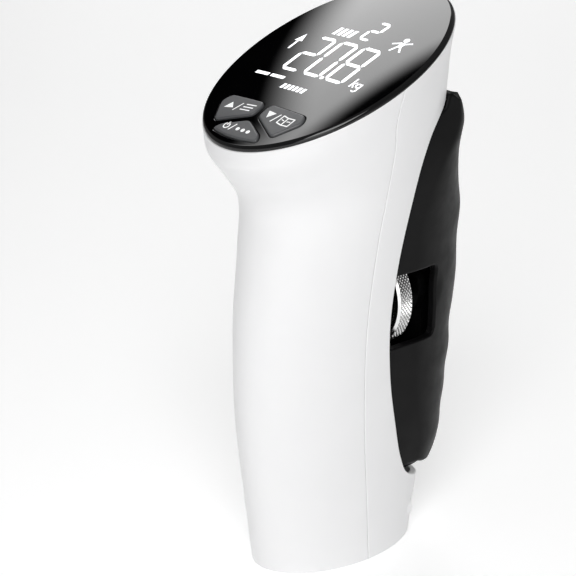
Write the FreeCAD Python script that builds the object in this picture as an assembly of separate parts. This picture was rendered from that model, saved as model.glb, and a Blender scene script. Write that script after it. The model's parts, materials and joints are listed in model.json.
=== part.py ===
"""Hand dynamometer with an adjustable squeeze handle.

Units are millimetres. The origin is the centre of the base's flat face, +Z is up, +Y points
from the palm to the fingers, and X = 0 is the plane of symmetry. The display's own frame has its
origin at the rim's centre: x as above, v up the slope and h along the outward normal.
"""
import FreeCAD, Part
import math
import os

V = FreeCAD.Vector
X, Y, Z = V(1, 0, 0), V(0, 1, 0), V(0, 0, 1)

# ---- casing -------------------------------------------------------------------------------
# height, tilt, centre y, half width, half depth to the palm, half depth to the fingers
BODY_SECTIONS = (
    (0.0, 0.0, 0.0, 16.0, 26.0, 26.0),
    (20.0, 0.0, -1.2, 15.8, 27.7, 31.2),
    (45.0, 0.0, -2.7, 16.1, 29.3, 34.2),
    (70.0, 0.0, -2.8, 16.9, 29.3, 34.2),
    (92.0, 4.0, -1.2, 18.6, 28.6, 33.5),
    (108.0, 10.0, 0.5, 20.9, 29.2, 33.0),
    (120.0, 16.0, 0.0, 24.4, 33.6, 34.3),
    (130.0, 21.0, -2.0, 27.4, 37.3, 37.3),
    (137.4, 24.6, -2.1, 30.0, 38.4, 38.3),
)
SECTION_POINTS = 32           # points round one section
WALL = 1.8                    # casing wall
FLOOR = 2.4                   # thickness of the closed base
SEAM = ((-6, 0.0), (20, -1.2), (45, -2.7), (70, -2.8), (92, -1.2), (108, 0.1), (120, -1.0),
        (130, -3.0), (160, -3.4))             # height, y of the parting line
SEAM_GAP = 0.15
# y, height of the edge of the handle bay, from its top to its bottom
BAY_EDGE = ((46, 129.6), (33, 128.2), (24, 126.2), (17.3, 121.7), (14.4, 115), (11.6, 102),
            (8.2, 85), (6.5, 68), (7.5, 52), (10.3, 38), (13.4, 26.5), (18.1, 19.5), (30, 15.0),
            (46, 11.5))

# ---- display ------------------------------------------------------------------------------
TILT = BODY_SECTIONS[-1][1]
RIM = V(0, BODY_SECTIONS[-1][2], BODY_SECTIONS[-1][0])
RIM_A, RIM_B = 30.0, 38.3     # half axes of the rim
LENS_RISE = 2.5               # height of the lens's crown over the rim
CARRIER_TOP, CARRIER_BOTTOM = -2.4, -4.2
BOARD_TOP, BOARD_BOTTOM = -6.0, -7.4
CARRIER_A, CARRIER_B = 26.2, 34.0
BOARD_A, BOARD_B = 21.0, 32.0
CARRIER_SCREWS = ((-16.9, -21.4), (16.9, -21.4), (-16.9, 21.4), (16.9, 21.4))
BOARD_SCREWS = ((-9.0, 18.0), (9.0, 18.0), (-16.5, -6.0), (16.5, -6.0))
SWITCHES = ((-8.3, -25.0), (8.3, -25.0), (0.0, -28.6))
BUTTON_GAP = 0.2              # clearance round a button in the lens
BUTTON_FLANGE = 0.55          # width of the ledge that holds a button under the lens
BUTTON_CORNER = 1.1
# height of each button's top, and its outline in the display's x and v
BUTTONS = {
    "button_up": (2.45, ((-11.6, -30.9), (-15.8, -24.4), (-14.4, -21.5), (-2.0, -21.3),
                         (-1.0, -22.6), (-1.1, -26.4), (-10.6, -31.1))),
    "button_down": (2.45, ((11.6, -30.9), (15.8, -24.4), (14.4, -21.5), (2.0, -21.3),
                           (1.0, -22.6), (1.1, -26.4), (10.6, -31.1))),
    "button_power": (2.25, ((-8.7, -34.3), (-7.6, -32.1), (0.0, -28.4), (7.6, -32.1),
                            (8.7, -34.3), (2.6, -35.25), (-2.6, -35.25))),
}

# ---- squeeze handle -----------------------------------------------------------------------
# height, half width, y where the flanks end, y of the outermost line
GRIP_SECTIONS = (
    (12.0, 8.0, 22.5, 27.0),
    (16.0, 9.3, 22.5, 31.6),
    (20.0, 10.4, 23.0, 35.2),
    (24.0, 11.1, 23.0, 37.6),
    (29.0, 11.8, 22.8, 38.8),
    (34.0, 12.4, 21.5, 39.1),
    (40.0, 12.9, 20.2, 40.4),
    (46.0, 13.3, 19.2, 40.8),
    (52.0, 13.6, 18.5, 42.1),
    (59.0, 13.9, 18.0, 41.9),
    (66.0, 14.1, 17.6, 43.3),
    (74.0, 14.4, 17.4, 44.2),
    (84.0, 14.8, 17.4, 44.0),
    (93.0, 15.4, 17.8, 44.7),
    (101.0, 16.2, 20.0, 42.7),
    (108.0, 17.0, 22.5, 40.9),
    (115.0, 17.4, 26.5, 39.0),
    (120.0, 17.3, 29.0, 38.7),
    (124.0, 17.1, 29.5, 36.8),
    (128.0, 17.0, 29.0, 33.5),
)
GRIP_FRONT = ((12, 11), (22, 5), (30, 1), (45, -2.5), (65, -4.5), (85, -3.5), (105, 0),
              (118, 4), (128, 7))             # height, y of the flanks' hidden front edge
GRIP_ARCH = ((0, 126.0), (9, 125.9), (14.5, 125.6), (18.6, 124.8))   # x, height of the top
GRIP_CROWN = ((-20, 123.6), (10, 123.6), (19, 123.7), (26, 125.3), (32, 126.4),
              (48, 128.0))                    # y, height that the top keeps under the bay's edge
GRIP_HEEL = ((0, 12.9), (6, 14.6), (10, 18.9), (13.4, 26))           # x, height of the bottom
GRIP_LIP = ((0, 16.5), (4, 16.6), (6, 17.2), (8, 18.4), (10.4, 20.2), (13.4, 26.6))
HEEL_SLOPE, HEEL_Y = 0.32, 18.5               # rise of the bottom along y, and where it starts
GRIP_WALL = 2.2
GRIP_POWER = 1.8              # exponent of the handle's rounded back, under 2 for a soft crease
GRIP_SCREW_HEIGHTS = (49.0, 93.5)
WINDOW = (26.0, 61.8, 81.4)   # back y, lowest and highest z of the finger window
SCOOP_RADIUS, SCOOP_DEPTH = 21.0, 1.6
SCOOP_Y, SCOOP_Z = 28.5, 72.5

# ---- adjusting wheel and spindle ----------------------------------------------------------
AXIS_Z = 71.5                 # height of the spindle
WHEEL_R = 14.6
WHEEL_FRONT, WHEEL_BACK = 11.1, 16.4
SPINDLE_R, JOURNAL_R = 4.0, 3.0
SPINDLE_FRONT, SPINDLE_BACK = -6.6, 39.2
RUNNING_GAP = 0.05
NUT_FRONT, NUT_BACK = 24.6, 31.0
FRAME_FRONT, FRAME_BACK = 27.2, 30.2
GUIDE_HEIGHTS = (33.0, 103.0)
GUIDE_R = 2.5
GUIDE_FRONT = -4.4
BUSH_FRONT, BUSH_BACK = 3.0, 14.0
BUSH_R = 4.5

# ---- load cell and chassis ----------------------------------------------------------------
WEB_FRONT, WEB_BACK = -20.0, -18.0
CELL = (-5.5, 5.5, -17.5, -7.5, 26.0, 82.0)   # x, y and z limits of the bending beam
CHASSIS_LOW, CHASSIS_HIGH = 18.0, 112.0
CHASSIS_SCREW_HEIGHTS = (21.5, 108.5)
CELL_SCREW_HEIGHTS = (30.0, 38.0)
BLOCK_SCREW_HEIGHTS = (64.2, 78.8)
BASE_SCREW_X, BASE_SCREW_Z = 9.0, 8.2
USB_Z, USB_BACK = 6.9, 25.6   # height and rear face of the charging socket


# ---- helpers ------------------------------------------------------------------------------
def block(x0, x1, y0, y1, z0, z1):
    return Part.makeBox(x1 - x0, y1 - y0, z1 - z0, V(x0, y0, z0))


def rod(radius, at, along, length):
    return Part.makeCylinder(radius, length, at, along)


def y_rod(radius, x, z, y0, y1):
    return rod(radius, V(x, y0, z), Y, y1 - y0)


def join(shapes):
    first = shapes[0]
    for other in shapes[1:]:
        first = first.fuse(other)
    return first.removeSplitter()


def spline(points):
    curve = Part.BSplineCurve()
    curve.interpolate(points)
    return curve


def side_block(curve_points, corners):
    """Solid whose side view is a spline through (y, z) points closed by straight corners."""
    points = [V(0, y, z) for y, z in curve_points]
    ends = [points[-1]] + [V(0, y, z) for y, z in corners] + [points[0]]
    edges = [spline(points).toShape()]
    edges += [Part.makeLine(a, b) for a, b in zip(ends, ends[1:])]
    face = Part.Face(Part.Wire(edges))
    return face.translated(V(-60, 0, 0)).extrude(V(120, 0, 0))


def in_display(shape):
    """Place a shape drawn in the display's own frame (x, v, h)."""
    placed = shape.copy()
    placed.Placement = FreeCAD.Placement(RIM, FreeCAD.Rotation(X, TILT)).multiply(placed.Placement)
    return placed


def oval(a, b, h0, h1):
    """Elliptic plate in the display's frame, longer along v."""
    wire = Part.Wire(Part.Ellipse(V(0, 0, h0), b, a).toShape())
    wire.rotate(V(0, 0, h0), Z, 90)
    return Part.Face(wire).extrude(V(0, 0, h1 - h0))


def smooth_row(rows, s):
    """Row at place s along a table, by a Catmull-Rom curve through its rows."""
    i = min(int(s), len(rows) - 2)
    u = s - i
    p1, p2 = rows[i], rows[i + 1]
    p0 = rows[i - 1] if i else [2 * a - b for a, b in zip(p1, p2)]
    p3 = rows[i + 2] if i + 2 < len(rows) else [2 * b - a for a, b in zip(p1, p2)]
    return [0.5 * (2 * b + (c - a) * u + (2 * a - 5 * b + 4 * c - d) * u * u
                   + (3 * b - a - 3 * c + d) * u ** 3)
            for a, b, c, d in zip(p0, p1, p2, p3)]


def at_height(table, z):
    """Second value of a (height, value) table, by straight lines between its rows."""
    for (z0, a), (z1, b) in zip(table, table[1:]):
        if z <= z1:
            return a + (b - a) * (z - z0) / (z1 - z0)
    return table[-1][1]


# ---- casing -------------------------------------------------------------------------------
def body_ring(row, inset, lift=0.0):
    height, tilt, centre, half_width, palm, fingers = row
    lean = math.radians(tilt)
    points = []
    for i in range(SECTION_POINTS):
        turn = 2 * math.pi * i / SECTION_POINTS
        depth = (fingers if math.sin(turn) > 0 else palm) - inset
        v = depth * math.sin(turn)
        points.append(V((half_width - inset) * math.cos(turn),
                        centre + v * math.cos(lean) - lift * math.sin(lean),
                        height + v * math.sin(lean) + lift * math.cos(lean)))
    curve = Part.BSplineCurve()
    curve.interpolate(points, PeriodicFlag=True)
    return Part.Wire(curve.toShape())


def body_solid(inset, start=0.0, overshoot=0.0):
    last = len(BODY_SECTIONS) - 1
    places = [start] + [0.5 * i for i in range(1, 2 * last + 1)]
    rings = [body_ring(smooth_row(BODY_SECTIONS, s), inset) for s in places]
    if overshoot:
        rings.append(body_ring(BODY_SECTIONS[-1], inset, overshoot))
    return Part.makeLoft(rings, True, False)


def casing_parts():
    outer = body_solid(0.0)
    inner = body_solid(WALL, start=FLOOR / 20.0, overshoot=2.0)
    tube = outer.cut(inner)
    palm_side = [(-90, 160), (-90, -6)]
    seam = [(y, z) for z, y in SEAM]
    palm_block = side_block(seam, palm_side)
    finger_block = side_block([(y + SEAM_GAP, z) for y, z in seam], [(90, 160), (90, -6)])
    bay = side_block(BAY_EDGE, [(90, 11.5), (90, 129.6)])

    bosses = [y_rod(2.7, x, z, -34, WEB_FRONT) for x in (-5, 5) for z in CHASSIS_SCREW_HEIGHTS]
    bosses += [y_rod(2.7, x, BASE_SCREW_Z, -24, -0.2) for x in (-BASE_SCREW_X, BASE_SCREW_X)]
    bosses += [display_boss(x, v, 17.0) for x, v in CARRIER_SCREWS[:2]]
    front = join([tube.common(palm_block)] + [b.common(outer) for b in bosses])
    for x in (-5, 5):
        for z in CHASSIS_SCREW_HEIGHTS:
            front = front.cut(y_rod(1.0, x, z, WEB_FRONT - 4.5, WEB_FRONT + 1))
    for x in (-BASE_SCREW_X, BASE_SCREW_X):
        front = front.cut(y_rod(1.1, x, BASE_SCREW_Z, -9, 1))
    for x, v in CARRIER_SCREWS[:2]:
        front = front.cut(display_hole(x, v))

    posts = [y_rod(3.0, x, BASE_SCREW_Z, 0.2, 32) for x in (-BASE_SCREW_X, BASE_SCREW_X)]
    posts += [display_boss(x, v, 13.0) for x, v in CARRIER_SCREWS[2:]]
    rear = join([tube.common(finger_block).cut(bay)] + [p.common(outer) for p in posts])
    for x in (-BASE_SCREW_X, BASE_SCREW_X):
        rear = rear.cut(y_rod(1.45, x, BASE_SCREW_Z, -1, 12))
        rear = rear.cut(y_rod(2.4, x, BASE_SCREW_Z, 8.6, 34))
    for x, v in CARRIER_SCREWS[2:]:
        rear = rear.cut(display_hole(x, v))
    rear = rear.cut(usb_slot(4.75, 1.75, 18, 34))
    return {"front_shell": front, "rear_shell": rear}


def display_boss(x, v, depth):
    return in_display(rod(2.6, V(x, v, CARRIER_BOTTOM - depth), Z, depth - 0.05))


def display_hole(x, v):
    return in_display(rod(0.9, V(x, v, CARRIER_BOTTOM - 6), Z, 7))


# ---- display and buttons ------------------------------------------------------------------
def rounded_plate(points, grow, h0, h1):
    """Plate with a button's outline and rounded corners; grow moves the outline outwards."""
    face = Part.Face(Part.makePolygon([V(x, v, h0) for x, v in points] + [V(*points[0], h0)]))
    solid = face.extrude(V(0, 0, h1 - h0))
    upright = [e for e in solid.Edges if abs(e.Vertexes[0].Z - e.Vertexes[1].Z) > 0.1]
    solid = solid.makeFillet(BUTTON_CORNER, upright)
    if not grow:
        return solid
    bottom = [f for f in solid.Faces if abs(f.CenterOfMass.z - h0) < 1e-6][0]
    wire = bottom.OuterWire.makeOffset2D(grow)
    return Part.Face(wire).extrude(V(0, 0, h1 - h0))


def lens_crown():
    """Dome over the rim: a turned profile stretched to the rim's ellipse."""
    r = RIM_B - 0.1
    edge = Part.Arc(V(r, 0, 0.35), V(r - 0.3, 0, 1.0), V(r - 1.3, 0, 1.35))
    crown = spline([V(r - 1.3, 0, 1.35), V(r * 0.7, 0, 1.95), V(r * 0.35, 0, 2.36),
                    V(0, 0, LENS_RISE)])
    skirt = r - 3.4
    edges = [Part.makeLine(V(r, 0, 0.02), V(r, 0, 0.35)), edge.toShape(), crown.toShape(),
             Part.makeLine(V(0, 0, LENS_RISE), V(0, 0, -0.05)),
             Part.makeLine(V(0, 0, -0.05), V(skirt - 1.3, 0, -0.05)),
             Part.makeLine(V(skirt - 1.3, 0, -0.05), V(skirt - 1.3, 0, -1.9)),
             Part.makeLine(V(skirt - 1.3, 0, -1.9), V(skirt, 0, -1.9)),
             Part.makeLine(V(skirt, 0, -1.9), V(skirt, 0, 0.02)),
             Part.makeLine(V(skirt, 0, 0.02), V(r, 0, 0.02))]
    dome = Part.Face(Part.Wire(edges)).revolve(V(0, 0, 0), Z, 360)
    stretch = FreeCAD.Matrix()
    stretch.scale(RIM_A / RIM_B, 1, 1)
    return dome.transformGeometry(stretch)


def display_parts(inside):
    lens = lens_crown()
    parts = {}
    for name, (top, outline) in BUTTONS.items():
        lens = lens.cut(rounded_plate(outline, BUTTON_GAP, -1, 4))
        lens = lens.cut(rounded_plate(outline, BUTTON_FLANGE + 0.3, -3, -0.1))
        cap = rounded_plate(outline, 0, -0.9, top)
        rim = [e for e in cap.Edges if min(v.Z for v in e.Vertexes) > top - 0.01]
        cap = cap.makeChamfer(0.35, rim)
        flange = rounded_plate(outline, BUTTON_FLANGE, -0.9, -0.3)
        parts[name] = in_display(cap.fuse(flange).removeSplitter())
    parts["display_lens"] = in_display(lens)
    parts["keypad_mat"] = in_display(
        block(-14.4, 14.4, -33, -20, -2.2, -1.6).common(oval(25.6, 32.9, -3, 0)))

    parts["display_module"] = in_display(block(-14.4, 14.4, -16.5, 24.5, -2.2, -0.2))
    carrier = oval(CARRIER_A, CARRIER_B, CARRIER_BOTTOM, CARRIER_TOP)
    for x, v in CARRIER_SCREWS:
        carrier = carrier.cut(rod(1.3, V(x, v, CARRIER_BOTTOM - 1), Z, 4))
    for x, v in SWITCHES:
        carrier = carrier.cut(block(x - 3.4, x + 3.4, v - 3.4, v + 3.4, -5, -2))
    for x, v in BOARD_SCREWS:
        carrier = carrier.fuse(rod(2.2, V(x, v, BOARD_TOP), Z, CARRIER_BOTTOM - BOARD_TOP + 0.2))
        carrier = carrier.cut(rod(0.8, V(x, v, BOARD_TOP - 1), Z, 3.6))
    parts["display_carrier"] = in_display(carrier.removeSplitter()).common(inside)

    heads = [rod(2.2, V(x, v, CARRIER_TOP), Z, 0.9).fuse(rod(0.9, V(x, v, -9.5), Z, 8.0))
             for x, v in CARRIER_SCREWS]
    parts["carrier_screws"] = in_display(Part.makeCompound(heads))

    board = oval(BOARD_A, BOARD_B, BOARD_BOTTOM, BOARD_TOP)
    for x, v in BOARD_SCREWS:
        board = board.cut(rod(1.0, V(x, v, BOARD_BOTTOM - 1), Z, 4))
    for x, v in CARRIER_SCREWS:
        board = board.cut(rod(3.2, V(x, v, BOARD_BOTTOM - 1), Z, 4))
    parts["main_board"] = in_display(board).common(inside)
    screws = [rod(1.9, V(x, v, BOARD_BOTTOM - 1.1), Z, 1.1).fuse(
        rod(0.8, V(x, v, BOARD_BOTTOM - 0.1), Z, 4.0)) for x, v in BOARD_SCREWS]
    parts["board_screws"] = in_display(Part.makeCompound(screws))
    switches = [block(x - 3, x + 3, v - 3, v + 3, BOARD_TOP, -3.2).fuse(
        rod(1.6, V(x, v, -3.3), Z, 1.0)) for x, v in SWITCHES]
    parts["tact_switches"] = in_display(Part.makeCompound(switches))
    return parts


# ---- squeeze handle -----------------------------------------------------------------------
def grip_ring(row, inset, front):
    height, half_width, flank_end, back = row
    w = half_width - inset
    depth = back - inset - flank_end
    arc = []
    for i in range(13):
        turn = math.pi * i / 12
        c, s = math.cos(turn), math.sin(turn)
        arc.append(V(math.copysign(w * abs(c) ** (2 / GRIP_POWER), c),
                     flank_end + depth * s ** (2 / GRIP_POWER), height))
    curve = Part.BSplineCurve()
    curve.interpolate(arc, InitialTangent=V(0, 1, 0), FinalTangent=V(0, -1, 0))
    a, b = V(w, front, height), V(-w, front, height)
    return Part.Wire([Part.makeLine(a, arc[0]), curve.toShape(), Part.makeLine(arc[-1], b),
                      Part.makeLine(b, a)])


def grip_solid(inset, forward):
    rings = []
    for row in GRIP_SECTIONS:
        front = at_height(GRIP_FRONT, row[0]) - forward
        rings.append(grip_ring(row, inset, front))
    body = Part.makeLoft(rings, True, False)
    return body.common(grip_outline(inset))


def grip_outline(inset):
    """Space between the handle's arched top and its heel, which clears the bay's lower lip."""
    start, length, far = -20.0, 80.0, 60.0

    def arched(table, rise, slope, beyond):
        """Block on one side of a front-view curve that is drawn through along Y."""
        z0 = rise + slope * (start - HEEL_Y)
        curve = [V(-x, start, z + z0) for x, z in table[::-1]]
        curve += [V(x, start, z + z0) for x, z in table[1:]]
        corners = [curve[-1], V(far, start, curve[-1].z), V(far, start, beyond),
                   V(-far, start, beyond), V(-far, start, curve[0].z), curve[0]]
        edges = [spline(curve).toShape()]
        edges += [Part.makeLine(a, b) for a, b in zip(corners, corners[1:])]
        return Part.Face(Part.Wire(edges)).extrude(V(0, length, slope * length))
    under_arch = arched(GRIP_ARCH, -inset, 0.0, -50.0)
    over_heel = arched(GRIP_HEEL, inset, HEEL_SLOPE, 300.0)
    over_lip = arched(GRIP_LIP, inset, 0.0, 300.0)
    crown = side_block([(y, z - inset) for y, z in GRIP_CROWN], [(60, -50), (-20, -50)])
    return under_arch.common(over_heel).common(over_lip).common(crown)


def grip_parts():
    cover = grip_solid(0.0, 0.0).cut(grip_solid(GRIP_WALL, 4.0))
    back, low, high = WINDOW
    window = block(-30, 30, -20, back, low, high)
    corners = [e for e in window.Edges if abs(e.CenterOfMass.y - back) < 0.01
               and abs(e.tangentAt(e.FirstParameter).x) > 0.9]
    cover = cover.cut(window.makeFillet(2.0, corners))
    for side in (-1, 1):
        centre = V(side * (14.4 + SCOOP_RADIUS - SCOOP_DEPTH), SCOOP_Y, SCOOP_Z)
        cover = cover.cut(Part.makeSphere(SCOOP_RADIUS, centre))
    posts = [y_rod(3.0, 0, z, FRAME_BACK, 44).common(grip_solid(0.5, 0.0))
             for z in GRIP_SCREW_HEIGHTS]
    cover = join([cover] + posts)
    for z in GRIP_SCREW_HEIGHTS:
        cover = cover.cut(y_rod(1.1, 0, z, FRAME_BACK - 1, FRAME_BACK + 7))

    frame = block(-6.5, 6.5, FRAME_FRONT, FRAME_BACK, 27, 110)
    upright = [e for e in frame.Edges if abs(e.tangentAt(e.FirstParameter).y) > 0.9]
    frame = frame.makeFillet(4.0, upright)
    frame = frame.cut(y_rod(5.5, 0, AXIS_Z, FRAME_FRONT - 1, FRAME_BACK + 1))
    for z in GUIDE_HEIGHTS:
        frame = frame.cut(y_rod(GUIDE_R, 0, z, FRAME_FRONT - 1, FRAME_BACK + 1))
    for z in GRIP_SCREW_HEIGHTS:
        frame = frame.cut(y_rod(1.4, 0, z, FRAME_FRONT - 1, FRAME_BACK + 1))
    rods = [y_rod(GUIDE_R, 0, z, GUIDE_FRONT, FRAME_BACK) for z in GUIDE_HEIGHTS]
    nut = y_rod(5.5, 0, AXIS_Z, NUT_FRONT, NUT_BACK).fuse(
        y_rod(8.0, 0, AXIS_Z, NUT_FRONT, FRAME_FRONT))
    nut = nut.cut(y_rod(SPINDLE_R + RUNNING_GAP, 0, AXIS_Z, 0, 45)).removeSplitter()
    screws = [y_rod(2.3, 0, z, FRAME_FRONT - 1.6, FRAME_FRONT).fuse(
        y_rod(1.1, 0, z, FRAME_FRONT - 0.1, FRAME_BACK + 6)) for z in GRIP_SCREW_HEIGHTS]
    return {"grip_cover": cover, "grip_frame": frame, "guide_rods": Part.makeCompound(rods),
            "spindle_nut": nut, "grip_screws": Part.makeCompound(screws)}


# ---- adjusting wheel ----------------------------------------------------------------------
def wheel_parts():
    chamfer = 0.7
    wheel = y_rod(WHEEL_R, 0, AXIS_Z, WHEEL_FRONT, WHEEL_BACK)
    wheel = wheel.makeChamfer(chamfer, [e for e in wheel.Edges if e.Closed])
    recess = y_rod(11.4, 0, AXIS_Z, WHEEL_BACK - 1.2, WHEEL_BACK + 1)
    hub = y_rod(6.6, 0, AXIS_Z, WHEEL_BACK - 1.4, WHEEL_BACK + 0.6)
    wheel = wheel.cut(recess).fuse(hub).cut(y_rod(SPINDLE_R, 0, AXIS_Z, 0, 45))
    pin_y = WHEEL_FRONT + 2.6
    pin = rod(1.25, V(0, pin_y, AXIS_Z + SPINDLE_R), Z, 7.0)
    wheel = wheel.cut(rod(1.25, V(0, pin_y, AXIS_Z + SPINDLE_R - 1), Z, 20))
    shaft = y_rod(SPINDLE_R, 0, AXIS_Z, WHEEL_FRONT, SPINDLE_BACK).fuse(
        y_rod(JOURNAL_R, 0, AXIS_Z, SPINDLE_FRONT, WHEEL_FRONT + 0.5))
    groove = y_rod(5, 0, AXIS_Z, -5.8, -5.0).cut(y_rod(2.3, 0, AXIS_Z, -6, -4))
    shaft = shaft.cut(groove).removeSplitter()
    clip = y_rod(4.6, 0, AXIS_Z, -5.7, -5.1).cut(y_rod(2.3, 0, AXIS_Z, -6, -4))
    clip = clip.cut(block(-1.6, 1.6, -6, -4, AXIS_Z - 8, AXIS_Z))
    return {"adjusting_wheel": wheel.removeSplitter(), "spindle": shaft, "grub_screw": pin,
            "retaining_clip": clip}


# ---- chassis and load cell ----------------------------------------------------------------
def chassis_parts():
    x0, x1, y0, y1, z0, z1 = CELL
    web = block(-7.5, 7.5, WEB_FRONT, WEB_BACK, CHASSIS_LOW, CHASSIS_HIGH)
    pieces = [web, block(-5.5, 5.5, WEB_BACK - 0.1, y0, z0, z0 + 16)]
    for side in (-1, 1):
        a, b = sorted((side * 7.4, side * 8.6))
        pieces.append(block(a, b, WEB_FRONT, -10.0, CHASSIS_LOW, CHASSIS_HIGH))
        for z in GUIDE_HEIGHTS:
            pieces.append(block(a, b, -10.1, BUSH_BACK, z - 7, z + 7))
    for z in GUIDE_HEIGHTS:
        pieces.append(block(-7.6, 7.6, BUSH_FRONT, BUSH_BACK, z - 7, z + 7))
    chassis = join(pieces).cut(block(-4.6, 4.6, -21, -17, 61.2, 81.8))
    for z in GUIDE_HEIGHTS:
        chassis = chassis.cut(y_rod(BUSH_R, 0, z, 0, 20))
    for z in CHASSIS_SCREW_HEIGHTS:
        for x in (-5, 5):
            chassis = chassis.cut(y_rod(1.3, x, z, -21, -17))
    for z in CELL_SCREW_HEIGHTS:
        chassis = chassis.cut(y_rod(1.7, 0, z, -21, -17))

    cell = block(*CELL)
    for z in (49.0, 57.0):
        cell = cell.cut(rod(4.0, V(-10, (y0 + y1) / 2, z), X, 20))
    cell = cell.cut(block(-10, 10, (y0 + y1) / 2 - 1.0, (y0 + y1) / 2 + 1.0, 49, 57))
    for z in CELL_SCREW_HEIGHTS:
        cell = cell.cut(y_rod(1.5, 0, z, y0 - 1, y0 + 7))
    for z in BLOCK_SCREW_HEIGHTS:
        cell = cell.cut(y_rod(1.7, 0, z, y0 - 1, y1 + 1))
    gauges = [block(-2.2, 2.2, y, y + 0.15, z - 2.5, z + 2.5)
              for y in (y0 - 0.15, y1) for z in (49.0, 57.0)]

    bearing = block(-7.0, 7.0, y1 + 0.05, 9.4, 61.4, 81.6)
    bearing = bearing.cut(y_rod(4.5, 0, AXIS_Z, -10, 12)).cut(y_rod(5.4, 0, AXIS_Z, -10, -3.8))
    for z in BLOCK_SCREW_HEIGHTS:
        bearing = bearing.cut(y_rod(1.5, 0, z, y1 - 1, y1 + 6.5))
    bush = y_rod(4.5, 0, AXIS_Z, -3.8, 9.4).fuse(y_rod(6.6, 0, AXIS_Z, 9.4, 10.2))
    bush = bush.cut(y_rod(JOURNAL_R + RUNNING_GAP, 0, AXIS_Z, -10, 12)).removeSplitter()
    washer = y_rod(6.6, 0, AXIS_Z, 10.22, 11.0).cut(y_rod(JOURNAL_R + 0.2, 0, AXIS_Z, 9, 12))
    bushes = [y_rod(BUSH_R, 0, z, BUSH_FRONT, BUSH_BACK).cut(
        y_rod(GUIDE_R + RUNNING_GAP, 0, z, 0, 20)) for z in GUIDE_HEIGHTS]

    def screw(x, z, head_r, shank_r, y_head, length):
        return y_rod(head_r, x, z, y_head - 1.6, y_head).fuse(
            y_rod(shank_r, x, z, y_head - 0.1, y_head + length))
    cell_screws = [screw(0, z, 2.7, 1.5, WEB_FRONT, 8.0) for z in CELL_SCREW_HEIGHTS]
    block_screws = [screw(0, z, 2.7, 1.5, y0, 14.5) for z in BLOCK_SCREW_HEIGHTS]
    chassis_screws = []
    for x in (-5, 5):
        for z in CHASSIS_SCREW_HEIGHTS:
            head = y_rod(1.9, x, z, WEB_BACK, WEB_BACK + 1.3)
            chassis_screws.append(head.fuse(y_rod(1.0, x, z, WEB_BACK - 6.0, WEB_BACK + 0.1)))
    return {"chassis": chassis, "load_cell": cell, "strain_gauges": Part.makeCompound(gauges),
            "bearing_block": bearing, "spindle_bush": bush, "thrust_washer": washer,
            "guide_bushes": Part.makeCompound(bushes),
            "load_cell_screws": Part.makeCompound(cell_screws),
            "bearing_block_screws": Part.makeCompound(block_screws),
            "chassis_screws": Part.makeCompound(chassis_screws)}


# ---- power --------------------------------------------------------------------------------
def usb_slot(half_width, half_height, y0, y1):
    slot = block(-half_width, half_width, y0, y1, USB_Z - half_height, USB_Z + half_height)
    along = [e for e in slot.Edges if abs(e.tangentAt(e.FirstParameter).y) > 0.9]
    return slot.makeFillet(half_height * 0.98, along)


def power_parts():
    top = USB_Z - 1.7
    board = block(-6.0, 6.0, -14.0, USB_BACK - 4.1, top - 1.2, top)
    holes = [(-3.6, -11.0), (3.6, -11.0)]
    board_screws = []
    for x, y in holes:
        board = board.cut(rod(1.0, V(x, y, 0), Z, 10))
        board_screws.append(rod(1.8, V(x, y, top), Z, 1.0).fuse(
            rod(0.8, V(x, y, FLOOR + 0.2), Z, top - FLOOR)))
    socket = usb_slot(4.5, 1.6, USB_BACK - 7.3, USB_BACK)
    socket = socket.cut(usb_slot(4.2, 1.3, USB_BACK - 6.3, USB_BACK + 1))
    tongue = block(-3.3, 3.3, USB_BACK - 6.4, USB_BACK - 0.8, USB_Z - 0.35, USB_Z + 0.35)
    cell = block(-5.4, 5.4, -19.0, 7.8, 10.2, 16.6)
    long_edges = [e for e in cell.Edges if abs(e.tangentAt(e.FirstParameter).y) > 0.9]
    cell = cell.makeFillet(2.4, long_edges)
    return {"charge_board": board, "charge_board_screws": Part.makeCompound(board_screws),
            "usb_socket": socket.fuse(tongue), "battery": cell}


def shell_screws():
    screws = []
    for x in (-BASE_SCREW_X, BASE_SCREW_X):
        screws.append(y_rod(2.2, x, BASE_SCREW_Z, 8.6, 10.2).fuse(
            y_rod(1.1, x, BASE_SCREW_Z, -7.0, 8.7)))
    return {"shell_screws": Part.makeCompound(screws)}


def main():
    os.makedirs("parts", exist_ok=True)
    inside = body_solid(WALL + 0.3, start=FLOOR / 20.0, overshoot=3.0)
    nodes = casing_parts()
    nodes.update(display_parts(inside))
    nodes.update(grip_parts())
    nodes.update(wheel_parts())
    nodes.update(chassis_parts())
    nodes.update(power_parts())
    nodes.update(shell_screws())
    for name, shape in nodes.items():
        shape.exportStep(os.path.join("parts", name + ".step"))
        print(name, "solids", len(shape.Solids), "volume", round(shape.Volume, 1),
              "valid", shape.isValid())


main()
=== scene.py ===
"""Looks of the hand dynamometer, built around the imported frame.

Shapes are worked out in millimetres, in the frame's axes, and scaled to metres when a mesh is
made. The display's own frame has x across, v up its slope and h along its normal.
"""
import json
import math

import bpy
import numpy as np
from mathutils import Matrix, Vector
from mathutils.geometry import delaunay_2d_cdt


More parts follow.
